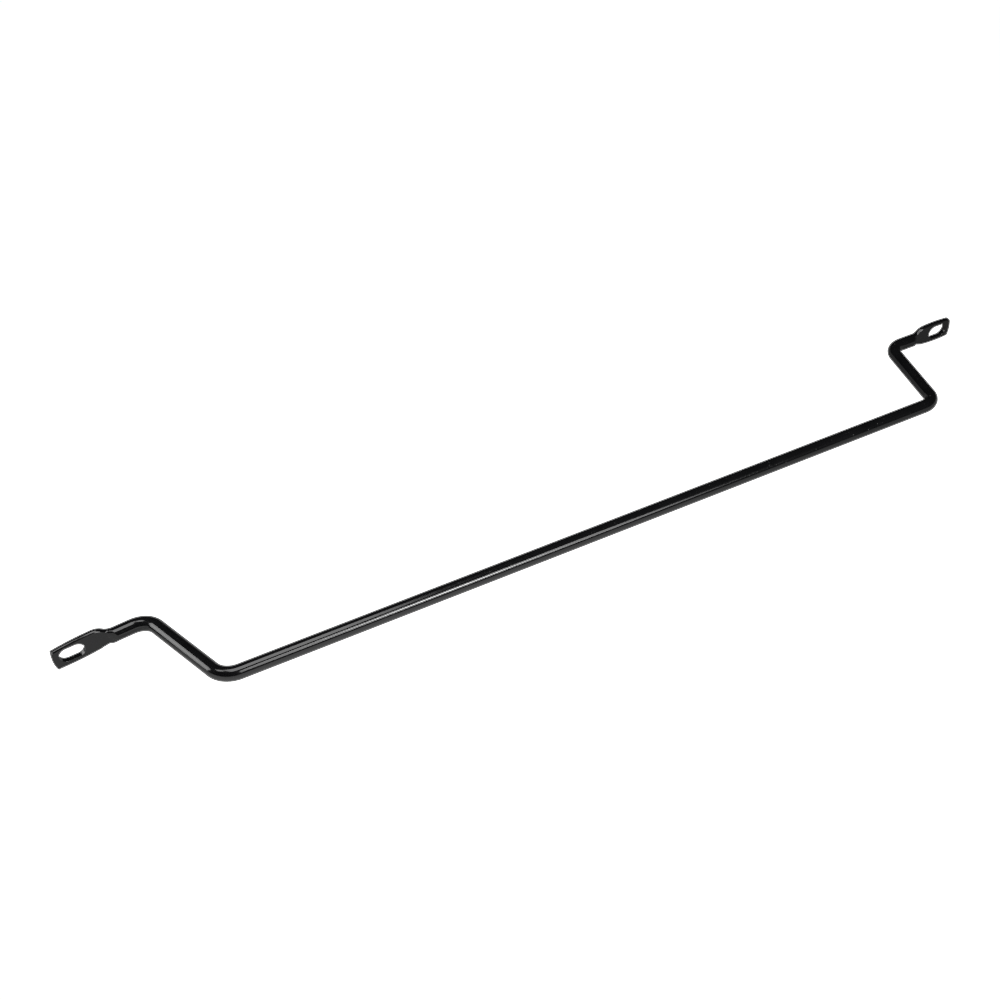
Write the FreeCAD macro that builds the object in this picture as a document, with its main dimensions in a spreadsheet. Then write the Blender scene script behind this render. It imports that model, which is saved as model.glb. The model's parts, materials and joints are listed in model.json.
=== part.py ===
import FreeCAD, Part
import math
import os
import Sketcher

# Sway bar: one length of round spring steel, bent at four places and pressed flat at both ends,
# where an oblong hole takes the fixing bolt. It is a single piece of metal.
#
# Every length is in millimetres and every angle in degrees. While the bar is drawn, the centre
# section lies along X and the arms leave it towards +Y. The finished bar is then placed so that
# its origin lies midway between the two bolt slots and +X runs through both slots' centres.
# +Y is the direction of both bolts, and +Z is up, across the width of the flattened ends.

DIMENSIONS = {
    "rod_diameter": 12.0,
    "bar_half_length": 357.0,   # middle of the bar to the corner of its lower bend
    "arm_reach": 101.0,         # bar axis to tab axis, square to the bar
    "arm_splay": 31.4,          # how far an arm leans outwards over its reach
    "arm_slope": 5.4,           # fall of the arms below level
    "bend_radius": 19.0,        # centreline radius of all four bends
    "rod_left_round": 28.4,     # corner of the upper bend to the start of the pressing
    "ramp_length": 6.0,         # slope left by the press between round bar and flat
    "core_length": 9.0,         # start of the pressing to where the flat has swallowed the round bar
    "plate_thickness": 4.8,
    "plate_setback": 2.4,       # middle plane of the flat, behind the axis of the round bar
    "root_width": 5.4,          # the flat's width where it emerges from the round bar
    "neck_radius": 9.0,         # hollow curve from the round bar into the flat
    "shoulder_radius": 12.5,    # round curve from the neck into the bulged side
    "widest_width": 22.0,
    "widest_reach": 30.0,       # start of the pressing to the widest place
    "tip_width": 20.0,
    "tip_crown": 1.5,           # how far the sheared end bows out in its middle
    "edge_radius": 1.6,         # rolled edge along the flat's sides
    "slot_length": 22.0,
    "slot_width": 14.4,
    "left_tab_length": 81.3,    # corner of the upper bend to the end of the bar
    "right_tab_length": 77.1,
    "left_slot_reach": 64.8,    # corner of the upper bend to the slot's centre
    "right_slot_reach": 61.4,
    "left_droop": 5.5,          # fall of the left tab towards its tip
    "right_droop": 0.0,
    "left_flat_turn": 4.0,      # further fall of the flat's outline, pressed askew of its rod
    "right_flat_turn": 0.0,
    "left_flat_rise": 1.9,      # the askew outline's middle above the rod's axis, where it starts
    "right_flat_rise": 0.0,
}

DOCUMENT_NAME = "sway_bar"
START, END, MIDDLE = 1, 2, 3            # Sketcher's numbers for the points of a line or an arc
X_AXIS_OF_SKETCH, Y_AXIS_OF_SKETCH = -1, -2
TOLERANCE = 0.01                        # how near counts as touching
UP = FreeCAD.Vector(0, 0, 1)


def make_sheet(document):
    """The spreadsheet that holds every driving dimension under its name."""
    sheet = document.addObject("Spreadsheet::Sheet", "dims")
    for row, (name, value) in enumerate(DIMENSIONS.items(), start=1):
        sheet.set(f"A{row}", name)
        sheet.set(f"B{row}", str(value))
        sheet.setAlias(f"B{row}", name)
    document.recompute()
    return sheet


def new_body(document, name):
    return document.addObject("PartDesign::Body", name)


def new_sketch(body, name, plane_role, offset=None):
    """A sketch lying flat on one of the body's own origin planes, moved by offset."""
    sketch = body.newObject("Sketcher::SketchObject", name)
    planes = [feature for feature in body.Origin.OriginFeatures if feature.Role == plane_role]
    sketch.AttachmentSupport = [(planes[0], "")]
    sketch.MapMode = "FlatFace"
    if offset is not None:
        sketch.AttachmentOffset = offset
    return sketch


def point(x, y):
    return FreeCAD.Vector(x, y, 0)


def arc(centre, radius, from_degrees, to_degrees):
    """An arc drawn anticlockwise between two directions seen from its centre."""
    circle = Part.Circle(centre, UP, radius)
    return Part.ArcOfCircle(circle, math.radians(from_degrees), math.radians(to_degrees))


def bind(sketch, kind, arguments, value, expression):
    """Adds a constraint with a size and ties the size to the spreadsheet."""
    index = sketch.addConstraint(Sketcher.Constraint(kind, *arguments, value))
    sketch.setExpression(f"Constraints[{index}]", expression)


def join(sketch, kind, *arguments):
    sketch.addConstraint(Sketcher.Constraint(kind, *arguments))


def arm_direction(size):
    """The way the right arm points, from its lower bend to its upper bend."""
    slope = math.radians(size["arm_slope"])
    along = FreeCAD.Vector(
        size["arm_splay"],
        size["arm_reach"] * math.cos(slope),
        -size["arm_reach"] * math.sin(slope),
    )
    return along.normalize()


def tab_turn(droop):
    """Turns X to the way a tab points: outwards, and down by its droop."""
    return FreeCAD.Rotation(FreeCAD.Vector(0, 1, 0), droop)


def upper_corner(size):
    """Where the axes of the right arm and the right tab meet."""
    arm_length = math.hypot(size["arm_reach"], size["arm_splay"])
    return FreeCAD.Vector(size["bar_half_length"], 0, 0) + arm_direction(size) * arm_length


def draw_bent_path(sketch, size, corner, turn, corner_rule, turn_rule):
    """A straight line along X, one bend to the left, and a straight line to the arm's middle."""
    radius = size["bend_radius"]
    heading = math.radians(turn)
    half_arm = math.hypot(size["arm_reach"], size["arm_splay"]) / 2
    setback = radius * math.tan(heading / 2)
    along_arm = point(math.cos(heading), math.sin(heading))
    bend_start = point(corner - setback, 0)
    bend_end = point(corner, 0) + along_arm * setback
    arm_middle = point(corner, 0) + along_arm * half_arm

    straight = sketch.addGeometry(Part.LineSegment(point(0, 0), bend_start), False)
    bend = sketch.addGeometry(arc(bend_start + point(0, radius), radius, -90, turn - 90), False)
    arm = sketch.addGeometry(Part.LineSegment(bend_end, arm_middle), False)

    join(sketch, "Coincident", straight, START, X_AXIS_OF_SKETCH, START)
    join(sketch, "Horizontal", straight)
    join(sketch, "Tangent", straight, END, bend, START)
    join(sketch, "Tangent", bend, END, arm, START)
    half_arm_rule = "sqrt(dims.arm_reach ^ 2 + dims.arm_splay ^ 2) / 2"
    bind(sketch, "Radius", (bend,), radius, "dims.bend_radius")
    bind(sketch, "Angle", (arm,), heading, turn_rule)
    bind(
        sketch, "DistanceX", (X_AXIS_OF_SKETCH, START, arm, END), arm_middle.x,
        f"{corner_rule} + {half_arm_rule} * cos({turn_rule})",
    )
    bind(
        sketch, "DistanceY", (X_AXIS_OF_SKETCH, START, arm, END), arm_middle.y,
        f"{half_arm_rule} * sin({turn_rule})",
    )


def draw_rod_circle(sketch, size):
    circle = sketch.addGeometry(Part.Circle(point(0, 0), UP, size["rod_diameter"] / 2), False)
    join(sketch, "Coincident", circle, MIDDLE, X_AXIS_OF_SKETCH, START)
    bind(sketch, "Diameter", (circle,), size["rod_diameter"], "dims.rod_diameter")


def sweep_rod(body, name, section, path):
    pipe = body.newObject("PartDesign::AdditivePipe", name)
    pipe.Profile = section
    pipe.Spine = (path, ["Edge1", "Edge2", "Edge3"])
    return pipe


def make_centre_section(document, size):
    """The straight centre of the bar, both lower bends and the lower half of each arm."""
    body = new_body(document, "centre_section")
    section = new_sketch(body, "centre_circle", "YZ_Plane")
    draw_rod_circle(section, size)

    fall = FreeCAD.Rotation(FreeCAD.Vector(1, 0, 0), -size["arm_slope"])
    path = new_sketch(body, "centre_path", "XY_Plane", FreeCAD.Placement(point(0, 0), fall))
    turn = math.degrees(math.atan2(size["arm_reach"], size["arm_splay"]))
    draw_bent_path(
        path, size, size["bar_half_length"], turn,
        "dims.bar_half_length", "atan(dims.arm_reach / dims.arm_splay)",
    )
    half = sweep_rod(body, "right_half", section, path)
    document.recompute()

    mirror = body.newObject("PartDesign::Mirrored", "both_halves")
    mirror.Originals = [half]
    planes = [feature for feature in body.Origin.OriginFeatures if feature.Role == "YZ_Plane"]
    mirror.MirrorPlane = (planes[0], [""])
    body.Tip = mirror
    document.recompute()
    return body


def draw_half_plate(sketch, size, plate_length, length_rule):
    """Upper half of the flat's outline: neck, shoulder, bulged side, bowed end, middle line."""
    widest, tip = size["widest_width"] / 2, size["tip_width"] / 2
    root = size["root_width"] / 2
    neck_radius, shoulder_radius = size["neck_radius"], size["shoulder_radius"]
    crown, widest_reach = size["tip_crown"], size["widest_reach"]
    corner_reach = plate_length - crown - widest_reach
    side_radius = (corner_reach ** 2 + (widest - tip) ** 2) / (2 * (widest - tip))
    tip_radius = (tip ** 2 + crown ** 2) / (2 * crown)

    # first positions of the curves, which the constraints below then settle exactly
    start, end = point(0, 0), point(plate_length, 0)
    tip_corner = point(plate_length - crown, tip)
    tip_half_angle = math.degrees(math.asin(tip / tip_radius))
    side_angle = math.degrees(math.asin(corner_reach / side_radius))
    neck_end = point(neck_radius, root + neck_radius)
    shoulder_centre = point(neck_radius + shoulder_radius, widest - shoulder_radius)
    side_ends_at, shoulder_ends_at = 95, 150

    middle_line = sketch.addGeometry(Part.LineSegment(start, end), False)
    tip_centre = end - point(tip_radius, 0)
    tip_arc = sketch.addGeometry(arc(tip_centre, tip_radius, 0, tip_half_angle), False)
    side_centre = point(widest_reach, widest - side_radius)
    side = sketch.addGeometry(
        arc(side_centre, side_radius, 90 - side_angle, side_ends_at), False,
    )
    shoulder = sketch.addGeometry(
        arc(shoulder_centre, shoulder_radius, side_ends_at, shoulder_ends_at), False,
    )
    neck_centre = point(0, root + neck_radius)
    neck = sketch.addGeometry(
        arc(neck_centre, neck_radius, -90, shoulder_ends_at - 180), False,
    )
    root_line = sketch.addGeometry(Part.LineSegment(point(0, root), start), False)

    join(sketch, "Coincident", middle_line, START, X_AXIS_OF_SKETCH, START)
    join(sketch, "Horizontal", middle_line)
    join(sketch, "Coincident", middle_line, END, tip_arc, START)
    join(sketch, "PointOnObject", tip_arc, MIDDLE, X_AXIS_OF_SKETCH)
    join(sketch, "Coincident", tip_arc, END, side, START)
    join(sketch, "Tangent", side, END, shoulder, START)
    join(sketch, "Tangent", shoulder, END, neck, END)
    join(sketch, "PointOnObject", neck, MIDDLE, Y_AXIS_OF_SKETCH)
    join(sketch, "Coincident", neck, START, root_line, START)
    join(sketch, "PointOnObject", root_line, START, Y_AXIS_OF_SKETCH)
    join(sketch, "Coincident", root_line, END, middle_line, START)
    origin = (X_AXIS_OF_SKETCH, START)
    bind(sketch, "DistanceX", (*origin, middle_line, END), plate_length, length_rule)
    bind(sketch, "DistanceX", (tip_arc, END, middle_line, END), crown, "dims.tip_crown")
    bind(sketch, "DistanceY", (*origin, tip_arc, END), tip, "dims.tip_width / 2")
    bind(sketch, "DistanceX", (*origin, side, MIDDLE), widest_reach, "dims.widest_reach")
    rise = "(dims.widest_width - dims.tip_width) / 2"
    run = f"({length_rule} - dims.tip_crown - dims.widest_reach)"
    side_rule = f"({run} ^ 2 + ({rise}) ^ 2) / (2 * {rise})"
    bind(sketch, "Radius", (side,), side_radius, side_rule)
    bind(sketch, "Radius", (shoulder,), shoulder_radius, "dims.shoulder_radius")
    bind(sketch, "Radius", (neck,), neck_radius, "dims.neck_radius")
    bind(sketch, "DistanceY", (*origin, root_line, START), root, "dims.root_width / 2")


def draw_press_cut(sketch, size, side):
    """What the press takes off one side of the round bar: side is -1 for the front, 1 for the back."""
    rod_radius = size["rod_diameter"] / 2
    ramp, core = size["ramp_length"], size["core_length"]
    face = size["plate_setback"] + side * size["plate_thickness"] / 2
    outside = side * size["rod_diameter"]
    corners = [
        point(0, side * rod_radius),
        point(ramp, face),
        point(core, face),
        point(core, outside),
        point(0, outside),
    ]
    lines = []
    for corner, following in zip(corners, corners[1:] + corners[:1]):
        lines.append(sketch.addGeometry(Part.LineSegment(corner, following), False))
    for line, following in zip(lines, lines[1:] + lines[:1]):
        join(sketch, "Coincident", line, END, following, START)
    slope, level, core_end, edge, rod_end = lines
    join(sketch, "PointOnObject", slope, START, Y_AXIS_OF_SKETCH)
    join(sketch, "Horizontal", level)
    join(sketch, "Vertical", core_end)
    join(sketch, "Horizontal", edge)
    join(sketch, "Vertical", rod_end)
    origin = (X_AXIS_OF_SKETCH, START)
    bind(sketch, "DistanceX", (*origin, slope, END), ramp, "dims.ramp_length")
    bind(sketch, "DistanceX", (*origin, level, END), core, "dims.core_length")
    rod_rule = f"{side} * dims.rod_diameter / 2"
    bind(sketch, "DistanceY", (*origin, slope, START), side * rod_radius, rod_rule)
    face_rule = f"dims.plate_setback + {side} * dims.plate_thickness / 2"
    bind(sketch, "DistanceY", (*origin, slope, END), face, face_rule)
    bind(sketch, "DistanceY", (*origin, edge, START), outside, f"{side} * dims.rod_diameter")


def draw_slot(sketch, size, centre_reach, centre_rule):
    """The oblong bolt hole: two straight sides and two half-round ends."""
    radius = size["slot_width"] / 2
    half_straight = size["slot_length"] / 2 - radius
    inner, outer = centre_reach - half_straight, centre_reach + half_straight
    top = sketch.addGeometry(Part.LineSegment(point(outer, radius), point(inner, radius)), False)
    inner_end = sketch.addGeometry(arc(point(inner, 0), radius, 90, 270), False)
    bottom = sketch.addGeometry(Part.LineSegment(point(inner, -radius), point(outer, -radius)), False)
    outer_end = sketch.addGeometry(arc(point(outer, 0), radius, -90, 90), False)
    join(sketch, "Tangent", top, END, inner_end, START)
    join(sketch, "Tangent", inner_end, END, bottom, START)
    join(sketch, "Tangent", bottom, END, outer_end, START)
    join(sketch, "Tangent", outer_end, END, top, START)
    join(sketch, "Horizontal", top)
    join(sketch, "PointOnObject", inner_end, MIDDLE, X_AXIS_OF_SKETCH)
    origin = (X_AXIS_OF_SKETCH, START)
    half_straight_rule = "(dims.slot_length - dims.slot_width) / 2"
    bind(sketch, "Radius", (outer_end,), radius, "dims.slot_width / 2")
    bind(
        sketch, "DistanceX", (*origin, inner_end, MIDDLE), inner,
        f"{centre_rule} - {half_straight_rule}",
    )
    bind(
        sketch, "DistanceX", (*origin, outer_end, MIDDLE), outer,
        f"{centre_rule} + {half_straight_rule}",
    )


def rolled_edges(shape, outline_placement, plate_length, crown):
    """Names of the long edges of the flat, which the press leaves rounded, not sheared."""
    names = []
    for number, edge in enumerate(shape.Edges, start=1):
        middle = edge.valueAt((edge.FirstParameter + edge.LastParameter) / 2)
        reach = outline_placement.inverse().multVec(middle).x
        lies_on_a_face = edge.BoundBox.YLength < TOLERANCE
        is_root_or_tip = reach < TOLERANCE or reach > plate_length - crown
        if lies_on_a_face and not is_root_or_tip:
            names.append(f"Edge{number}")
    return names


def cut_through(body, name, sketch, base):
    """A pocket cut both ways through the whole body. It has to remove something."""
    volume_before = base.Shape.Volume
    pocket = body.newObject("PartDesign::Pocket", name)
    pocket.Profile = sketch
    pocket.Type = "ThroughAll"
    pocket.SideType = "Symmetric"
    body.Document.recompute()
    if pocket.Shape.Volume >= volume_before:
        raise RuntimeError(f"{name} removed nothing")
    return pocket


def make_end(document, size, side):
    """One flattened end with its bend and half of its arm, pointing along +X from its ramp."""
    body = new_body(document, f"{side}_end")
    plate_length = size[f"{side}_tab_length"] - size["rod_left_round"]
    length_rule = f"(dims.{side}_tab_length - dims.rod_left_round)"
    slot_reach = size[f"{side}_slot_reach"] - size["rod_left_round"]
    slot_rule = f"dims.{side}_slot_reach - dims.rod_left_round"
    droop, droop_rule = size[f"{side}_droop"], f"dims.{side}_droop"

    # the flat: a bulged outline with rolled edges
    flat_turn, flat_rise = size[f"{side}_flat_turn"], size[f"{side}_flat_rise"]
    askew = FreeCAD.Rotation(UP, -flat_turn)
    set_back = FreeCAD.Placement(FreeCAD.Vector(0, flat_rise, -size["plate_setback"]), askew)
    half_outline = new_sketch(body, f"{side}_plate_outline", "XZ_Plane", set_back)
    half_outline.setExpression(".AttachmentOffset.Base.y", f"dims.{side}_flat_rise")
    half_outline.setExpression(".AttachmentOffset.Base.z", "-dims.plate_setback")
    draw_half_plate(half_outline, size, plate_length, length_rule)
    half_plate = body.newObject("PartDesign::Pad", f"{side}_half_plate")
    half_plate.Profile = half_outline
    half_plate.SideType = "Symmetric"
    half_plate.setExpression("Length", "dims.plate_thickness")
    document.recompute()

    plate = body.newObject("PartDesign::Mirrored", f"{side}_plate")
    plate.Originals = [half_plate]
    plate.MirrorPlane = (half_outline, ["H_Axis"])
    body.Tip = plate
    document.recompute()

    rolled = body.newObject("PartDesign::Fillet", f"{side}_rolled_edges")
    edge_names = rolled_edges(plate.Shape, half_outline.Placement, plate_length, size["tip_crown"])
    rolled.Base = (plate, edge_names)
    rolled.setExpression("Radius", "dims.edge_radius")
    document.recompute()

    # the round bar: through the upper bend to the arm's middle, and on into the flat
    turn_rule = (
        f"acos((dims.arm_splay * cos({droop_rule})"
        f" + dims.arm_reach * sin(dims.arm_slope) * sin({droop_rule}))"
        " / sqrt(dims.arm_reach ^ 2 + dims.arm_splay ^ 2))"
    )
    arm = tab_turn(droop).inverted().multVec(arm_direction(size))
    turn = math.degrees(math.acos(arm.x))
    roll = FreeCAD.Rotation(FreeCAD.Vector(1, 0, 0), math.degrees(math.atan2(arm.z, arm.y)))
    half_circle_turn = FreeCAD.Rotation(UP, 180)
    section = new_sketch(body, f"{side}_circle", "YZ_Plane")
    draw_rod_circle(section, size)
    towards_arm = FreeCAD.Placement(point(0, 0), roll * half_circle_turn)
    path = new_sketch(body, f"{side}_path", "XY_Plane", towards_arm)
    draw_bent_path(path, size, size["rod_left_round"], turn, "dims.rod_left_round", turn_rule)
    sweep_rod(body, f"{side}_bent_rod", section, path)

    core = body.newObject("PartDesign::Pad", f"{side}_core")
    core_section = new_sketch(body, f"{side}_core_circle", "YZ_Plane")
    draw_rod_circle(core_section, size)
    core.Profile = core_section
    core.setExpression("Length", "dims.core_length")
    document.recompute()

    # the press flattens the front more than the back
    last = core
    for face, name in ((-1, "front"), (1, "back")):
        cut = new_sketch(body, f"{side}_{name}_wedge", "XY_Plane")
        draw_press_cut(cut, size, face)
        document.recompute()
        last = cut_through(body, f"{side}_{name}_press", cut, last)

    slot = new_sketch(body, f"{side}_slot_outline", "XZ_Plane")
    draw_slot(slot, size, slot_reach, slot_rule)
    document.recompute()
    cut_through(body, f"{side}_slot", slot, last)

    turned = tab_turn(droop)
    ramp_start = upper_corner(size) + turned.multVec(FreeCAD.Vector(size["rod_left_round"], 0, 0))
    body.Placement = FreeCAD.Placement(ramp_start, turned)
    document.recompute()
    return body


def slot_centre(size, side, outwards):
    """Centre of a slot, half way through the flat: outwards is -1 for the left, 1 for the right."""
    local = FreeCAD.Vector(size[f"{side}_slot_reach"], size["plate_setback"], 0)
    centre = upper_corner(size) + tab_turn(size[f"{side}_droop"]).multVec(local)
    centre.x *= outwards
    return centre


def mounting_placement(size):
    """Moves the bar so that its slots' centres lie on the X axis, the same way either side."""
    left, right = slot_centre(size, "left", -1), slot_centre(size, "right", 1)
    across = right - left
    level = FreeCAD.Rotation(FreeCAD.Vector(0, 1, 0), math.degrees(math.atan2(across.z, across.x)))
    return FreeCAD.Placement(level.multVec((left + right) * -0.5), level)


def check_document(document):
    for item in document.Objects:
        failed = {"Invalid", "Error"} & set(item.State)
        if failed:
            raise RuntimeError(f"{item.Name} is {failed}")


def check_single_solid(part):
    shape = part.Shape
    if shape.isNull() or not shape.isValid() or len(shape.Solids) != 1:
        raise RuntimeError(f"{part.Label} is not one valid solid")


def main():
    document = FreeCAD.newDocument(DOCUMENT_NAME)
    sheet = make_sheet(document)
    size = {name: sheet.get(name) for name in DIMENSIONS}

    centre_section = make_centre_section(document, size)
    right_end = make_end(document, size, "right")
    left_end_unmirrored = make_end(document, size, "left")
    left_end = document.addObject("Part::Mirroring", "left_end_in_place")
    left_end.Source = left_end_unmirrored
    left_end.Normal = FreeCAD.Vector(1, 0, 0)
    document.recompute()

    bar = document.addObject("Part::MultiFuse", "sway_bar")
    bar.Label = "sway_bar"
    bar.Shapes = [centre_section, right_end, left_end]
    bar.Refine = True
    bar.Placement = mounting_placement(size)
    document.recompute()

    check_document(document)
    check_single_solid(bar)
    os.makedirs("parts", exist_ok=True)
    bar.Shape.exportStep(f"parts/{bar.Label}.step")
    print(f"{bar.Label}: {bar.Shape.Volume:.0f} mm3, {bar.Shape.BoundBox}")
    for side, outwards in (("left", -1), ("right", 1)):
        centre = bar.Placement.multVec(slot_centre(size, side, outwards))
        print(f"{side} slot centre: {centre}")


main()
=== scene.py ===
import json
import math

import bmesh
import bpy
from mathutils import Matrix, Vector
from mathutils.geometry import delaunay_2d_cdt


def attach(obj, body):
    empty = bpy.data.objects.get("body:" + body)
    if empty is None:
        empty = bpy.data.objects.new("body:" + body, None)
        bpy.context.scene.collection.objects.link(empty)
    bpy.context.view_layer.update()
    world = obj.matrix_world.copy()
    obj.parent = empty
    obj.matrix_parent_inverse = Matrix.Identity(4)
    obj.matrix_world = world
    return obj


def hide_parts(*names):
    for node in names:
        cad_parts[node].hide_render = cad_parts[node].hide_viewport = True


# A painted sway bar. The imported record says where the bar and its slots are. This script skins the
# same bar finely: round bar, four bends, and two pressed ends whose edges, ramps and slot rims are
# rounded as a press and a punch leave them. Lengths are metres and angles are degrees. On a pressed
# end, x runs along the rod from the ramp's start, v across the flat and n forwards, out of its face.

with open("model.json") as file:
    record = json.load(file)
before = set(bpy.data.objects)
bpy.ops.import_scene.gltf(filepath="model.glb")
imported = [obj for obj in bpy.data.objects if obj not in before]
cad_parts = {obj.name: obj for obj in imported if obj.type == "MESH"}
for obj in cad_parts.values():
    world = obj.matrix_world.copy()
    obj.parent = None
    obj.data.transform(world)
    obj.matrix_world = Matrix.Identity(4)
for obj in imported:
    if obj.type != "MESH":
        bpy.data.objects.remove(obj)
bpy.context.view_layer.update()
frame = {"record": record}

MM = 0.001
mounts = {mount["name"]: mount for mount in frame["record"]["mounts"]}

# sizes that the record states
ROD_RADIUS = mounts["bush_seat"]["dims"]["r_mm"] * MM
BAR_MIDDLE = Vector(mounts["bush_seat"]["pos_m"])
BAR_AXIS = Vector(mounts["bush_seat"]["axis"]).normalized()
SLOT_RADIUS = mounts["slots"]["dims"]["hole_r_mm"] * MM
SLOT_HALF_STRAIGHT = mounts["slots"]["dims"]["slot_length_mm"] * MM / 2 - SLOT_RADIUS
SLOT_SPACING = mounts["slots"]["dims"]["spacing_x_mm"] * MM
HALF_THICKNESS = abs(mounts["left_front_seat"]["pos_m"][1])

# sizes of the bent bar and of its pressed ends, as the CAD part has them
BAR_HALF_LENGTH = 357.0 * MM
BEND_RADIUS = 19.0 * MM
ROD_LEFT_ROUND = 28.4 * MM
RAMP_LENGTH = 6.0 * MM
PLATE_SETBACK = 2.4 * MM
ROOT_HALF_WIDTH = 2.7 * MM
NECK_RADIUS = 9.0 * MM
SHOULDER_RADIUS = 12.5 * MM
WIDEST_HALF_WIDTH = 11.0 * MM
WIDEST_REACH = 30.0 * MM
TIP_HALF_WIDTH = 10.0 * MM
TIP_CROWN = 1.5 * MM

# A tab's lengths run from the corner where its rod's axis meets its arm's. The rod falls away by its
# droop, and the flat is turned further down on the rod and starts with its middle raised above it.
TABS = {
    "left": {
        "outwards": -1, "length": 81.3 * MM, "slot_reach": 64.8 * MM,
        "droop": 5.5, "flat_turn": 4.0, "flat_rise": 1.9 * MM, "tip_corner": 1.0 * MM,
    },
    "right": {
        "outwards": 1, "length": 77.1 * MM, "slot_reach": 61.4 * MM,
        "droop": 0.0, "flat_turn": 0.0, "flat_rise": 0.0 * MM, "tip_corner": 2.6 * MM,
    },
}

# finish of the pressed ends
SIDE_ROLL = 1.6 * MM          # depth of the rolled edge along a side
TIP_ROLL = 0.6 * MM           # depth of the worn edge across the sheared tip
SIDE_BOXINESS = 2.0           # 2 is an ellipse, more is squarer
TIP_BOXINESS = 5.0
SHEAR_REACH = 5.0 * MM        # length of flat that the tip's cut, square to the rod, changes
SLOT_RIM = 0.3 * MM           # rounding of the punched slot's rims
CREASE = 0.4 * MM             # softness of the line between ramp and round bar
UPPER_CREASE = 3.5 * MM       # softness of that line once it has become the neck's upper edge
LOWER_CREASE = 0.8 * MM       # the same for the neck's lower edge, which the press leaves crisper
RAMP_RUNOUT = 1.5 * MM        # how far the pressed ramp fades out into the round bar
SQUEEZED_OUT = 1.6 * MM       # how far the press drives metal out below the round bar's side
SQUEEZED_REACH = 9.0 * MM     # ramp start to where that metal begins to merge into the flat
BLEND = 2.0 * MM              # softness where the flat's edge grows out of the round bar
CORE_TAPER = 0.6              # how quickly the round core dwindles inside the flat, past the ramp

# mesh density
CAP_STEPS = 36                # across the front or the back of a section
SIDE_STEPS = 20               # over one side of a section
RING_POINTS = 2 * (CAP_STEPS + SIDE_STEPS)
BEND_STEPS = 44
STRAIGHT_STEP = 6.0 * MM
RAMP_STEP = 0.25 * MM
LEAD = 2.5 * MM               # round bar before the ramp that already has the ramp's fine rings
JOIN_REACH = 12.0 * MM        # ramp start to where the flat's outline takes over from rings
FLAT_STEP = 1.0 * MM
TIP_STEPS = 24
CORNER_STEPS = 8
SLOT_END_STEPS = 32
SLOT_SIDE_STEPS = 8
RIM_STEPS = 5
WALL_STEPS = 6
HOLD = 0.1 * MM               # strip beside a rim that stays flat, so that the flat shades evenly
HOLD_FADE = 4.0 * MM          # length over which that strip narrows from one cap step to HOLD
WELD = 0.002 * MM             # points closer than this become one
FILL_ERROR = WELD / 10
REACH_ERROR = WELD / 100

UP = Vector((0, 0, 1))
BACKWARDS = Vector((0, 1, 0))


# ---------------------------------------------------------------- curves

def smooth(value):
    """0 below 0, 1 above 1, and an even rise between."""
    value = min(max(value, 0.0), 1.0)
    return value * value * (3 - 2 * value)


def soft_max(a, b, softness):
    """The larger of two numbers, with the corner between them rounded."""
    gap = max(softness - abs(a - b), 0.0)
    return max(a, b) + gap * gap / (4 * softness)


def soft_min(a, b, softness):
    """The smaller of two numbers, with the corner between them rounded."""
    return -soft_max(-a, -b, softness)


def circles_meet(first_centre, first_radius, second_centre, second_radius):
    """The crossing of two circles that lies left of the line from the first centre to the second."""
    across = second_centre - first_centre
    along = (across.length_squared + first_radius ** 2 - second_radius ** 2) / (2 * across.length)
    height = math.sqrt(first_radius ** 2 - along ** 2)
    unit = across.normalized()
    return first_centre + unit * along + Vector((-unit.y, unit.x)) * height


class Tab:
    """One end of the bar: its rod's axis, its slot, and the corner where it meets its arm."""

    def __init__(self, side):
        values = TABS[side]
        outwards = values["outwards"]
        fall = Matrix.Rotation(math.radians(values["droop"]) * outwards, 3, "Y")
        self.direction = (fall @ (BAR_AXIS * outwards)).normalized()
        self.across = (UP - self.direction * UP.dot(self.direction)).normalized()
        slot_centre = Vector((outwards * SLOT_SPACING / 2, 0, 0))
        self.corner = slot_centre - BACKWARDS * PLATE_SETBACK - self.direction * values["slot_reach"]
        self.ramp_start = self.corner + self.direction * ROD_LEFT_ROUND
        self.slot_reach = values["slot_reach"] - ROD_LEFT_ROUND
        self.plate = Plate(
            values["length"] - ROD_LEFT_ROUND, math.radians(values["flat_turn"]),
            values["flat_rise"], values["tip_corner"],
        )

    def place(self, point, n):
        """A point x along the rod from the ramp's start and v above its axis, n towards the front."""
        return self.ramp_start + self.direction * point.x + self.across * point.y - BACKWARDS * n


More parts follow.
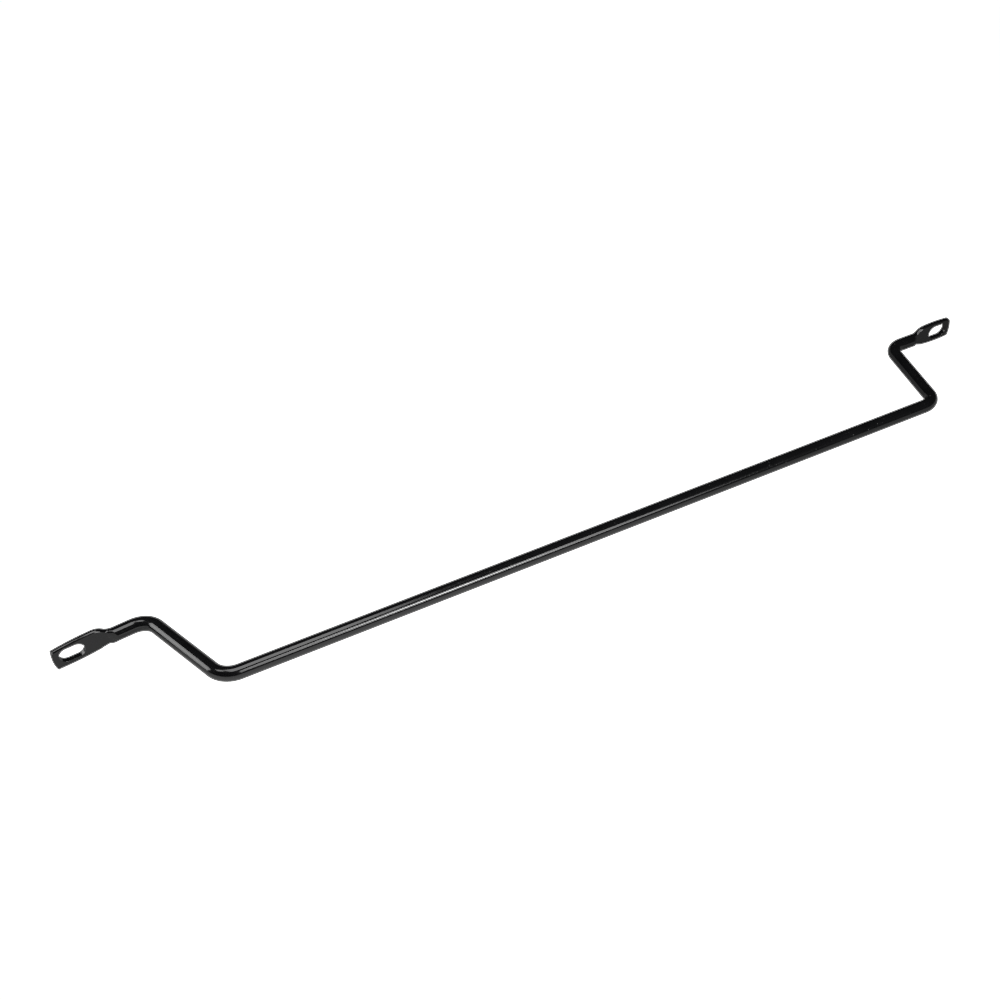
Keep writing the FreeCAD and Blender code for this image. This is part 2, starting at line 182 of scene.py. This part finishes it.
class Plate:
    """Outline of one pressed end, seen from the front: x from the ramp's start, v from its middle.

    The flat can be pressed askew of its rod. Points that lie on the flat's own axes go through
    on_rod to the rod's axes, and from_rod takes them back."""

    def __init__(self, length, turn, rise, corner_radius):
        self.length = length
        self.start = Vector((0, rise))
        self.corner_radius = corner_radius
        self.along = Vector((math.cos(turn), -math.sin(turn)))
        self.across = Vector((math.sin(turn), math.cos(turn)))
        self.turn = turn
        run = length - TIP_CROWN - WIDEST_REACH
        drop = WIDEST_HALF_WIDTH - TIP_HALF_WIDTH
        self.side_radius = (run ** 2 + drop ** 2) / (2 * drop)
        self.side_centre = Vector((WIDEST_REACH, WIDEST_HALF_WIDTH - self.side_radius))
        self.neck_centre = Vector((0, ROOT_HALF_WIDTH + NECK_RADIUS))
        self.shoulder_centre = circles_meet(
            self.neck_centre, NECK_RADIUS + SHOULDER_RADIUS,
            self.side_centre, self.side_radius - SHOULDER_RADIUS,
        )
        neck_to_shoulder = (self.shoulder_centre - self.neck_centre).normalized()
        side_to_shoulder = (self.shoulder_centre - self.side_centre).normalized()
        self.neck_end = (self.neck_centre + neck_to_shoulder * NECK_RADIUS).x
        self.shoulder_end = (self.side_centre + side_to_shoulder * self.side_radius).x
        self.tip_radius = (TIP_HALF_WIDTH ** 2 + TIP_CROWN ** 2) / (2 * TIP_CROWN)
        self.tip_centre = Vector((length - self.tip_radius, 0))
        self.corner_centre = circles_meet(
            self.tip_centre, self.tip_radius - corner_radius,
            self.side_centre, self.side_radius - corner_radius,
        )

    def on_rod(self, point):
        return self.start + self.along * point.x + self.across * point.y

    def from_rod(self, point):
        offset = point - self.start
        return Vector((offset.dot(self.along), offset.dot(self.across)))

    def sheared(self, point):
        """Moves a point near the tip, because the tip is cut square to the rod and not to the flat."""
        share = smooth((point.x - self.length + SHEAR_REACH) / SHEAR_REACH)
        return Vector((point.x - point.y * math.tan(self.turn) * share, point.y))

    def half_width(self, x):
        """Half the flat's width: a hollow neck, then a round shoulder, then a long flat arc."""
        if x < self.neck_end:
            return self.neck_centre.y - math.sqrt(NECK_RADIUS ** 2 - x ** 2)
        if x < self.shoulder_end:
            reach = x - self.shoulder_centre.x
            return self.shoulder_centre.y + math.sqrt(SHOULDER_RADIUS ** 2 - reach ** 2)
        reach = x - self.side_centre.x
        return self.side_centre.y + math.sqrt(self.side_radius ** 2 - reach ** 2)

    def corner_arc(self):
        """The rounded tip corner, from the side to the tip."""
        from_side = self.corner_centre - self.side_centre
        from_tip = self.corner_centre - self.tip_centre
        first = math.atan2(from_side.y, from_side.x)
        last = math.atan2(from_tip.y, from_tip.x)
        for step in range(CORNER_STEPS + 1):
            angle = first + (last - first) * step / CORNER_STEPS
            yield self.corner_centre + Vector((math.cos(angle), math.sin(angle))) * self.corner_radius

    def half_loop(self, side_inset, tip_inset, join_inset):
        """Upper half of a loop inside the outline: along the side, round the corner, to the middle.

        The side's inset starts from join_inset where the rings end."""
        corner = list(self.corner_arc())
        side_end = corner[0].x
        side_steps = round((side_end - JOIN_REACH) / FLAT_STEP)
        loop = []
        for step in range(side_steps + 1):
            x = JOIN_REACH + (side_end - JOIN_REACH) * step / side_steps
            share = smooth((x - JOIN_REACH) / HOLD_FADE)
            inset = join_inset + (side_inset - join_inset) * share
            loop.append(Vector((x, self.half_width(x) - inset)))
        tip_radius = self.tip_radius - tip_inset
        if side_inset:
            v = TIP_HALF_WIDTH - side_inset
            sharp = Vector((self.tip_centre.x + math.sqrt(tip_radius ** 2 - v ** 2), v))
            corner = [loop[-1].lerp(sharp, step / CORNER_STEPS) for step in range(CORNER_STEPS + 1)]
        loop += corner[1:]
        for step in range(1, TIP_STEPS + 1):
            v = corner[-1].y * (1 - step / TIP_STEPS)
            loop.append(Vector((self.tip_centre.x + math.sqrt(tip_radius ** 2 - v ** 2), v)))
        return loop

    def loop(self, side_inset, tip_inset, join_inset):
        """The whole loop, from the upper side round the tip to the lower side."""
        upper = self.half_loop(side_inset, tip_inset, join_inset)
        return upper + [Vector((point.x, -point.y)) for point in reversed(upper[:-1])]

    def boxiness(self):
        """How square the edge is at each point of the loop: rolled at the sides, sheared at the tip."""
        side_points = len(self.half_loop(0.0, 0.0, 0.0)) - CORNER_STEPS - TIP_STEPS
        upper = [SIDE_BOXINESS] * side_points
        for step in range(1, CORNER_STEPS + 1):
            upper.append(SIDE_BOXINESS + (TIP_BOXINESS - SIDE_BOXINESS) * step / CORNER_STEPS)
        upper += [TIP_BOXINESS] * TIP_STEPS
        return upper + upper[-2::-1]


# ---------------------------------------------------------------- sections of the round bar and ramp
# A section is a closed ring of (v, n) pairs. It goes over the front, down the lower side, over the
# back and up the upper side.

FRONT_FACE = HALF_THICKNESS - PLATE_SETBACK
BACK_FACE = -HALF_THICKNESS - PLATE_SETBACK


def round_angles():
    """Directions of the ring's points on the round bar, evenly spread, first at the upper front."""
    half_cap = 360.0 * CAP_STEPS / RING_POINTS / 2
    return [math.radians(90.0 - half_cap + 360.0 * i / RING_POINTS) for i in range(RING_POINTS)]


def edge_profile(step, boxiness):
    """Outward and forward share of the edge's bulge, from the front face (0) to the back face."""
    angle = math.pi / 2 - math.pi * step / SIDE_STEPS
    outward = max(math.cos(angle), 0.0) ** (2 / boxiness)
    forward = math.copysign(abs(math.sin(angle)) ** (2 / boxiness), math.sin(angle))
    return outward, forward


def flat_section(half_width):
    """The ring's points on a section through the flat alone."""
    inner = half_width - SIDE_ROLL
    front = [(inner * (1 - 2 * step / CAP_STEPS), FRONT_FACE) for step in range(CAP_STEPS)]
    lower = []
    for step in range(SIDE_STEPS):
        outward, forward = edge_profile(step, SIDE_BOXINESS)
        lower.append((-inner - SIDE_ROLL * outward, -PLATE_SETBACK + HALF_THICKNESS * forward))
    half = front + lower
    return half + [(-v, FRONT_FACE + BACK_FACE - n) for v, n in half]


def outside(plate, point, n):
    """Below zero inside the metal, where the round bar turns into the flat. The point is x and v on
    the rod's axes. The metal is what is left of the round bar, its core, or the flat, or both."""
    pressed = min(max((point.x + RAMP_RUNOUT) / (RAMP_LENGTH + RAMP_RUNOUT), 0.0), 1.0)
    front = ROD_RADIUS + (FRONT_FACE - ROD_RADIUS) * pressed
    back = -ROD_RADIUS + (BACK_FACE + ROD_RADIUS) * pressed
    core_radius = ROD_RADIUS - CORE_TAPER * max(point.x - RAMP_LENGTH, 0.0)
    lower_share = smooth(-point.y / (ROD_RADIUS / 2))
    edge_crease = UPPER_CREASE + (LOWER_CREASE - UPPER_CREASE) * lower_share
    crease = CREASE + (edge_crease - CREASE) * smooth(2 * pressed)
    height = point.y
    if point.y < 0:
        # the core is stretched downwards, because the press squeezes metal out there
        low = ROD_RADIUS + SQUEEZED_OUT * smooth(pressed)
        low -= CORE_TAPER * max(point.x - SQUEEZED_REACH, 0.0)
        height *= core_radius / low
    core = soft_max(math.hypot(height, n) - core_radius, n - front, crease)
    core = soft_max(core, back - n, CREASE)
    if point.x <= 0:
        return core
    on_flat = plate.from_rod(point)
    rolled = max(abs(on_flat.y) - plate.half_width(on_flat.x) + SIDE_ROLL, 0.0) / SIDE_ROLL
    depth = (n + PLATE_SETBACK) / HALF_THICKNESS
    flat = (math.hypot(rolled, depth) - 1) * HALF_THICKNESS
    both = soft_min(core, flat, max(BLEND * smooth(pressed), WELD))
    return max(both, n - front, back - n)


def surface_reach(plate, centre, across, centre_n, angle):
    """How far the metal reaches from a section's centre in the direction of the angle, by halving."""
    near, far = 0.0, 2 * WIDEST_HALF_WIDTH
    while far - near > REACH_ERROR:
        reach = (near + far) / 2
        point = centre + across * reach * math.cos(angle)
        if outside(plate, point, centre_n + reach * math.sin(angle)) > 0:
            far = reach
        else:
            near = reach
    return near


def ramp_rings(tab):
    """Rings from just before the ramp to the flat. They start square to the rod and end square to
    the flat, and their points drift from an even spread to the flat's own spread."""
    plate = tab.plate
    joined = flat_section(plate.half_width(JOIN_REACH))
    round_from = round_angles()
    flat_to = []
    for (v, n), near in zip(joined, round_from):
        angle = math.atan2(n + PLATE_SETBACK, v)
        flat_to.append(angle + 2 * math.pi * round((near - angle) / (2 * math.pi)))
    steps = round((JOIN_REACH + LEAD) / RAMP_STEP)
    for step in range(steps):
        x = -LEAD + (JOIN_REACH + LEAD) * step / steps
        share = smooth(step / steps)
        centre = Vector((x, 0)).lerp(plate.on_rod(Vector((x, 0))), share)
        centre_n = -PLATE_SETBACK * share
        across = Vector((math.sin(plate.turn * share), math.cos(plate.turn * share)))
        ring = []
        for start, end in zip(round_from, flat_to):
            angle = start + (end - start) * share
            reach = surface_reach(plate, centre, across, centre_n, angle)
            point = centre + across * reach * math.cos(angle)
            ring.append(tab.place(point, centre_n + reach * math.sin(angle)))
        yield ring
    yield [tab.place(plate.on_rod(Vector((JOIN_REACH, v))), n) for v, n in joined]


# ---------------------------------------------------------------- the bar's centreline

def bend(before, corner, after):
    """Centreline points and tangents round a bend between two lines that meet at the corner."""
    arriving = (corner - before).normalized()
    leaving = (after - corner).normalized()
    turn = arriving.angle(leaving)
    axis = arriving.cross(leaving).normalized()
    start = corner - arriving * BEND_RADIUS * math.tan(turn / 2)
    centre = start + axis.cross(arriving) * BEND_RADIUS
    for step in range(BEND_STEPS + 1):
        rotation = Matrix.Rotation(turn * step / BEND_STEPS, 3, axis)
        yield centre + rotation @ (start - centre), rotation @ arriving


def centreline(left, right):
    """Points and tangents from the left ramp to the right ramp."""
    corners = [
        left.ramp_start - left.direction * LEAD,
        left.corner,
        BAR_MIDDLE - BAR_AXIS * BAR_HALF_LENGTH,
        BAR_MIDDLE + BAR_AXIS * BAR_HALF_LENGTH,
        right.corner,
        right.ramp_start - right.direction * LEAD,
    ]
    stations = [(corners[0], -left.direction)]
    for before, corner, after in zip(corners, corners[1:], corners[2:]):
        stations += list(bend(before, corner, after))
    stations.append((corners[-1], right.direction))
    filled = []
    for (here, tangent), (there, _) in zip(stations, stations[1:]):
        pieces = max(1, round((there - here).length / STRAIGHT_STEP))
        filled += [(here.lerp(there, piece / pieces), tangent) for piece in range(pieces)]
    return filled + stations[-1:]


# ---------------------------------------------------------------- the mesh

def add_grid(mesh, rows, closed=False):
    """Joins rows of points with four-sided faces. A closed grid's rows are rings."""
    made = [[mesh.verts.new(point) for point in row] for row in rows]
    columns = len(made[0])
    for row, following in zip(made, made[1:]):
        for column in range(columns if closed else columns - 1):
            beside = (column + 1) % columns
            mesh.faces.new((row[column], row[beside], following[beside], following[column]))


def slot_loop(tab, radius):
    """Points round a slot's outline of the given radius, in x and v."""
    points = []
    for end in (1, -1):
        centre = Vector((tab.slot_reach + end * SLOT_HALF_STRAIGHT, 0))
        for step in range(SLOT_END_STEPS + 1):
            angle = math.pi * step / SLOT_END_STEPS - math.pi / 2
            points.append(centre + Vector((math.cos(angle), math.sin(angle))) * radius * end)
        other = centre + Vector((-2 * end * SLOT_HALF_STRAIGHT, end * radius))
        points += [points[-1].lerp(other, step / SLOT_SIDE_STEPS) for step in range(1, SLOT_SIDE_STEPS)]
    return points


def slot_wall(tab):
    """Rows down the punched slot, from the flat front face over both rounded rims to the back."""
    profile = [(SLOT_RIM + HOLD, FRONT_FACE)]
    for step in range(RIM_STEPS + 1):
        angle = math.pi / 2 * step / RIM_STEPS
        rounding = SLOT_RIM * (1 - math.sin(angle))
        profile.append((rounding, FRONT_FACE - SLOT_RIM * (1 - math.cos(angle))))
    wall = 2 * (HALF_THICKNESS - SLOT_RIM)
    for step in range(1, WALL_STEPS):
        profile.append((0.0, FRONT_FACE - SLOT_RIM - wall * step / WALL_STEPS))
    front_half = profile[:RIM_STEPS + 2]
    profile += [(rounding, FRONT_FACE + BACK_FACE - n) for rounding, n in reversed(front_half)]
    for rounding, n in profile:
        yield [tab.place(point, n) for point in slot_loop(tab, SLOT_RADIUS + rounding)]


def add_faces(mesh, tab, outline, hole):
    """Fills both faces of a flat between its outline and the slot's."""
    size = len(outline)
    edges = [(i, (i + 1) % size) for i in range(size)]
    edges += [(size + i, size + (i + 1) % len(hole)) for i in range(len(hole))]
    corners, _, triangles, *_ = delaunay_2d_cdt(outline + hole, edges, [], 1, FILL_ERROR)
    for n in (FRONT_FACE, BACK_FACE):
        made = [mesh.verts.new(tab.place(corner, n)) for corner in corners]
        for triangle in triangles:
            is_in_slot = min(triangle) >= size
            if not is_in_slot:
                mesh.faces.new([made[i] for i in triangle])


def add_flat(mesh, tab):
    """One pressed end beyond the ramp: rolled edges, sheared tip, both faces and the slot."""
    plate = tab.plate
    cap_step = 2 * (plate.half_width(JOIN_REACH) - SIDE_ROLL) / CAP_STEPS
    insets = [
        (0.0, 0.0, 0.0),
        (SIDE_ROLL, TIP_ROLL, SIDE_ROLL),
        (SIDE_ROLL + HOLD, TIP_ROLL + HOLD, SIDE_ROLL + cap_step),
    ]
    outer, inner, held = (
        [plate.on_rod(plate.sheared(point)) for point in plate.loop(*inset)] for inset in insets
    )
    rows = []
    for edge, flat, hold, boxiness in zip(outer, inner, held, plate.boxiness()):
        row = [tab.place(hold, FRONT_FACE)]
        for step in range(SIDE_STEPS + 1):
            outward, forward = edge_profile(step, boxiness)
            row.append(tab.place(flat.lerp(edge, outward), -PLATE_SETBACK + HALF_THICKNESS * forward))
        row.append(tab.place(hold, BACK_FACE))
        rows.append(row)
    add_grid(mesh, rows)
    add_grid(mesh, slot_wall(tab), closed=True)
    join_line = [held[-1].lerp(held[0], step / (CAP_STEPS - 2)) for step in range(1, CAP_STEPS - 2)]
    add_faces(mesh, tab, held + join_line, slot_loop(tab, SLOT_RADIUS + SLOT_RIM + HOLD))


def build_bar():
    """The whole bar as one closed mesh. Its parts share their edges, which are welded at the end."""
    left, right = Tab("left"), Tab("right")
    mesh = bmesh.new()
    rows = list(ramp_rings(left))[:0:-1]
    circle = [(ROD_RADIUS * math.cos(a), ROD_RADIUS * math.sin(a)) for a in round_angles()]
    for centre, tangent in centreline(left, right):
        across = (UP - tangent * UP.dot(tangent)).normalized()
        forward = tangent.cross(across)
        rows.append([centre + across * v + forward * n for v, n in circle])
    rows += list(ramp_rings(right))[1:]
    add_grid(mesh, rows, closed=True)
    for tab in (left, right):
        add_flat(mesh, tab)
    bmesh.ops.remove_doubles(mesh, verts=mesh.verts[:], dist=WELD)
    bmesh.ops.recalc_face_normals(mesh, faces=mesh.faces[:])
    open_edges = sum(1 for edge in mesh.edges if not edge.is_manifold)
    if open_edges:
        raise RuntimeError(f"the bar's skin has {open_edges} open edges")
    data = bpy.data.meshes.new("sway_bar_skin")
    mesh.to_mesh(data)
    mesh.free()
    data.shade_smooth()
    bar = bpy.data.objects.new("painted_bar", data)
    bpy.context.scene.collection.objects.link(bar)
    return bar


# ---------------------------------------------------------------- node helpers

def new_material(name):
    material = bpy.data.materials.new(name)
    material.use_nodes = True
    return material, material.node_tree, material.node_tree.nodes["Principled BSDF"]


def spread(tree, value, taken, given, interpolation="LINEAR"):
    """Maps a node's value from the range taken to the range given, and clamps it."""
    node = tree.nodes.new("ShaderNodeMapRange")
    node.interpolation_type = interpolation
    for name, limit in zip(("From Min", "From Max", "To Min", "To Max"), taken + given):
        node.inputs[name].default_value = limit
    tree.links.new(value, node.inputs["Value"])
    return node.outputs["Result"]


def calculate(tree, operation, first, second):
    """A sum on a node's value and either another node's value or a number."""
    node = tree.nodes.new("ShaderNodeMath")
    node.operation = operation
    tree.links.new(first, node.inputs[0])
    if isinstance(second, float):
        node.inputs[1].default_value = second
    else:
        tree.links.new(second, node.inputs[1])
    return node.outputs["Value"]


def seen_by_camera(tree):
    return tree.nodes.new("ShaderNodeLightPath").outputs["Is Camera Ray"]


# ---------------------------------------------------------------- paint
# Scales are per metre. A range is the part of a noise, or of a measure, over which its effect comes in.

PAINT_DARK = (0.0015, 0.0015, 0.0017, 1)
PAINT_LIGHT = (0.0045, 0.0045, 0.0048, 1)
CLOUD_SCALE = 60.0            # slow drift between the two blacks
GRAIN_SCALE = 900.0
GRAIN_RANGE = (0.3, 0.7)
ROUGHNESS = (0.09, 0.17)      # from one end of the grain's range to the other
DUST_COLOUR = (0.03, 0.03, 0.029, 1)
DUST_SCALE = 700.0
DUST_RANGE = (0.74, 0.80)     # high, so that only sparse specks show
WORN_COLOUR = (0.05, 0.048, 0.046, 1)
WORN_RANGE = (0.52, 0.62)     # sharpness of an edge where the paint has thinned
WEAR = 0.6                    # how much of the worn colour shows on the sharpest edges
SPOT_ROUGHNESS = 0.3          # added where there is dust or wear
PEEL_SCALE = 450.0
PEEL_STRENGTH = 0.35
PEEL_HEIGHT = 0.06 * MM
GLANCE_RANGE = (0.3, 0.8)     # from nearly face on to glancing
GLANCE_GLOSS = (0.5, 0.01)    # specular level over that range, so that the bar's outline stays dark


def black_paint():
    """Gloss black baked paint: orange peel, slight cloudiness, dust specks, thin on worn edges."""
    material, tree, surface = new_material("black_paint")
    place = tree.nodes.new("ShaderNodeTexCoord").outputs["Object"]

    def noise(scale, detail):
        texture = tree.nodes.new("ShaderNodeTexNoise")
        texture.inputs["Scale"].default_value = scale
        texture.inputs["Detail"].default_value = detail
        tree.links.new(place, texture.inputs["Vector"])
        return texture.outputs["Fac"]

    def blend_colours(share, first, second):
        node = tree.nodes.new("ShaderNodeMix")
        node.data_type = "RGBA"
        tree.links.new(share, node.inputs["Factor"])
        for socket, colour in ((node.inputs["A"], first), (node.inputs["B"], second)):
            if isinstance(colour, tuple):
                socket.default_value = colour
            else:
                tree.links.new(colour, socket)
        return node.outputs["Result"]

    clouds = noise(CLOUD_SCALE, detail=3.0)
    grain = noise(GRAIN_SCALE, detail=5.0)
    dust = spread(tree, noise(DUST_SCALE, detail=1.0), DUST_RANGE, (0.0, 1.0))
    sharpness = tree.nodes.new("ShaderNodeNewGeometry").outputs["Pointiness"]
    worn = spread(tree, sharpness, WORN_RANGE, (0.0, WEAR))

    colour = blend_colours(clouds, PAINT_DARK, PAINT_LIGHT)
    colour = blend_colours(dust, colour, DUST_COLOUR)
    colour = blend_colours(worn, colour, WORN_COLOUR)
    tree.links.new(colour, surface.inputs["Base Color"])

    roughness = spread(tree, grain, GRAIN_RANGE, ROUGHNESS)
    for spots in (dust, worn):
        roughness = calculate(tree, "ADD", roughness, calculate(tree, "MULTIPLY", spots, SPOT_ROUGHNESS))
    tree.links.new(roughness, surface.inputs["Roughness"])

    peel = tree.nodes.new("ShaderNodeBump")
    peel.inputs["Strength"].default_value = PEEL_STRENGTH
    peel.inputs["Distance"].default_value = PEEL_HEIGHT
    tree.links.new(noise(PEEL_SCALE, detail=2.0), peel.inputs["Height"])
    tree.links.new(peel.outputs["Normal"], surface.inputs["Normal"])

    facing = tree.nodes.new("ShaderNodeLayerWeight")
    facing.inputs["Blend"].default_value = 0.5
    gloss = spread(tree, facing.outputs["Facing"], GLANCE_RANGE, GLANCE_GLOSS)
    tree.links.new(gloss, surface.inputs["Specular IOR Level"])
    return material


bar = build_bar()
bar.data.materials.append(black_paint())
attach(bar, "root")
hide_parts("sway_bar")


# ---------------------------------------------------------------- floor
# A plain white table that glows though it is no lamp: painted light, which the bar mirrors on its lower
# sides. The camera sees it evenly white. What the bar mirrors of it dims towards the bar's right end and
# behind the bar, which is painted shade in those reflections.

FLOOR_SIZE = 12.0
WHITE = (1.0, 1.0, 1.0, 1)
FLOOR_COLOUR = (0.05, 0.05, 0.05, 1)
# painted shade: where and how far the glow that the bar mirrors dims
ACROSS_RANGE = (-0.15, 0.35)  # x over which the mirrored glow dims
ACROSS_GLOW = (0.9, 0.33)
BEHIND_RANGE = (-0.12, -0.04)  # y over which it dims again
BEHIND_GLOW = (1.0, 0.5)


def make_floor(height):
    mesh = bmesh.new()
    bmesh.ops.create_grid(mesh, x_segments=1, y_segments=1, size=FLOOR_SIZE / 2)
    data = bpy.data.meshes.new("floor")
    mesh.to_mesh(data)
    mesh.free()
    floor = bpy.data.objects.new("floor", data)
    floor.location = (0, 0, height)
    material, tree, surface = new_material("floor")
    surface.inputs["Base Color"].default_value = FLOOR_COLOUR
    surface.inputs["Roughness"].default_value = 1.0
    surface.inputs["Specular IOR Level"].default_value = 0.0
    surface.inputs["Emission Color"].default_value = WHITE
    # painted shade: the glow that the bar mirrors dims with its place on the table, while the camera
    # still sees the table evenly white
    where = tree.nodes.new("ShaderNodeSeparateXYZ")
    position = tree.nodes.new("ShaderNodeNewGeometry").outputs["Position"]
    tree.links.new(position, where.inputs["Vector"])
    across = spread(tree, where.outputs["X"], ACROSS_RANGE, ACROSS_GLOW)
    behind = spread(tree, where.outputs["Y"], BEHIND_RANGE, BEHIND_GLOW)
    glow = calculate(tree, "MULTIPLY", across, behind)
    glow = calculate(tree, "MAXIMUM", glow, seen_by_camera(tree))
    tree.links.new(glow, surface.inputs["Emission Strength"])
    data.materials.append(material)
    bpy.context.scene.collection.objects.link(floor)


make_floor(min(vertex.co.z for vertex in bar.data.vertices))


# ---------------------------------------------------------------- light
# Four soft cards. Each one faces its target, and a fade is the share of the card's half width, then
# of its half height, over which it dims towards its edges.

ENERGY_PER_RADIANCE = 4       # of each square metre of an area light
CARDS = {
    # the streak down the left arm
    "side_card": {
        "place": (-1.41, 0.73, 0.43), "target": (-0.37, -0.05, 0.43),
        "width": 0.7, "height": 0.77, "radiance": 8.0, "fade": (0.2, 0.1),
    },
    # the long streak along the centre section, which dies away towards both ends
    "front_card": {
        "place": (0.46, -1.70, 1.38), "target": (0.46, 0.0, 1.38),
        "width": 1.46, "height": 1.34, "radiance": 20.0, "fade": (1.0, 0.3),
    },
    # the upper edge of the left neck and flat
    "neck_card": {
        "place": (-0.97, 0.34, 1.42), "target": (-0.42, 0.0, 0.0),
        "width": 0.42, "height": 0.42, "radiance": 5.5, "fade": (0.3, 0.3),
    },
    # the left tab, and the second streak on the left half of the centre section
    "top_card": {
        "place": (-0.26, 0.03, 1.50), "target": (-0.26, 0.03, 0.0),
        "width": 1.08, "height": 1.05, "radiance": 5.0, "fade": (0.4, 0.2),
    },
}


def make_card(name, place, target, width, height, radiance, fade):
    light = bpy.data.lights.new(name, "AREA")
    light.shape = "RECTANGLE"
    light.size, light.size_y = width, height
    light.energy = radiance * width * height * ENERGY_PER_RADIANCE
    light.use_nodes = True
    tree = light.node_tree
    across = tree.nodes.new("ShaderNodeSeparateXYZ")
    tree.links.new(tree.nodes.new("ShaderNodeTexCoord").outputs["UV"], across.inputs["Vector"])
    rises = []
    for axis, share in zip("XY", fade):
        from_edge = calculate(tree, "PINGPONG", across.outputs[axis], 0.5)
        rises.append(spread(tree, from_edge, (0.0, 0.5 * share), (0.0, 1.0), "SMOOTHSTEP"))
    brightness = calculate(tree, "MULTIPLY", *rises)
    tree.links.new(brightness, tree.nodes["Emission"].inputs["Strength"])
    holder = bpy.data.objects.new(name, light)
    direction = Vector(place) - Vector(target)
    holder.location = Vector(place)
    holder.rotation_euler = direction.to_track_quat("Z", "Y").to_euler()
    bpy.context.scene.collection.objects.link(holder)


def make_world():
    """White where the camera looks past the floor, and dark to everything else."""
    world = bpy.data.worlds.new("studio")
    world.use_nodes = True
    tree = world.node_tree
    background = tree.nodes["Background"]
    background.inputs["Color"].default_value = WHITE
    tree.links.new(seen_by_camera(tree), background.inputs["Strength"])
    bpy.context.scene.world = world


for card, values in CARDS.items():
    make_card(card, **values)
make_world()


# ---------------------------------------------------------------- camera

VIEW_TARGET = Vector((0.0, 0.1154, -0.1223))  # a point in the middle of the view
VIEW_DISTANCE = 1.4379        # from that point back to the camera
VIEW_AZIMUTH = 26.43          # heading of the view, from +Y towards +X
VIEW_FALL = 41.15             # how far the view looks down
VIEW_ROLL = -2.38             # a slight lean of the camera
LENS = 50.0                   # millimetres, as is the sensor
SENSOR = 36.0
TONE_POINTS = ((0.15, 0.14), (0.5, 0.23), (0.8, 0.58))  # scene light, then light as shown


def make_camera():
    camera = bpy.data.cameras.new("camera")
    camera.lens = LENS
    camera.sensor_width = SENSOR
    camera.clip_end = 2 * FLOOR_SIZE
    holder = bpy.data.objects.new("camera", camera)
    azimuth, fall, roll = (math.radians(a) for a in (VIEW_AZIMUTH, VIEW_FALL, VIEW_ROLL))
    turn = Matrix.Rotation(-azimuth, 3, "Z") @ Matrix.Rotation(math.pi / 2 - fall, 3, "X")
    turn = turn @ Matrix.Rotation(roll, 3, "Z")
    holder.matrix_world = Matrix.Translation(VIEW_TARGET + turn @ UP * VIEW_DISTANCE) @ turn.to_4x4()
    bpy.context.scene.collection.objects.link(holder)
    bpy.context.scene.camera = holder


def set_tone():
    """A curve that keeps white white and darkens the greys below it, for a bold outline."""
    view = bpy.context.scene.view_settings
    view.view_transform = "Standard"
    view.use_curve_mapping = True
    *_, all_colours = view.curve_mapping.curves
    for scene_light, shown_light in TONE_POINTS:
        all_colours.points.new(scene_light, shown_light)
    view.curve_mapping.update()


make_camera()
set_tone()
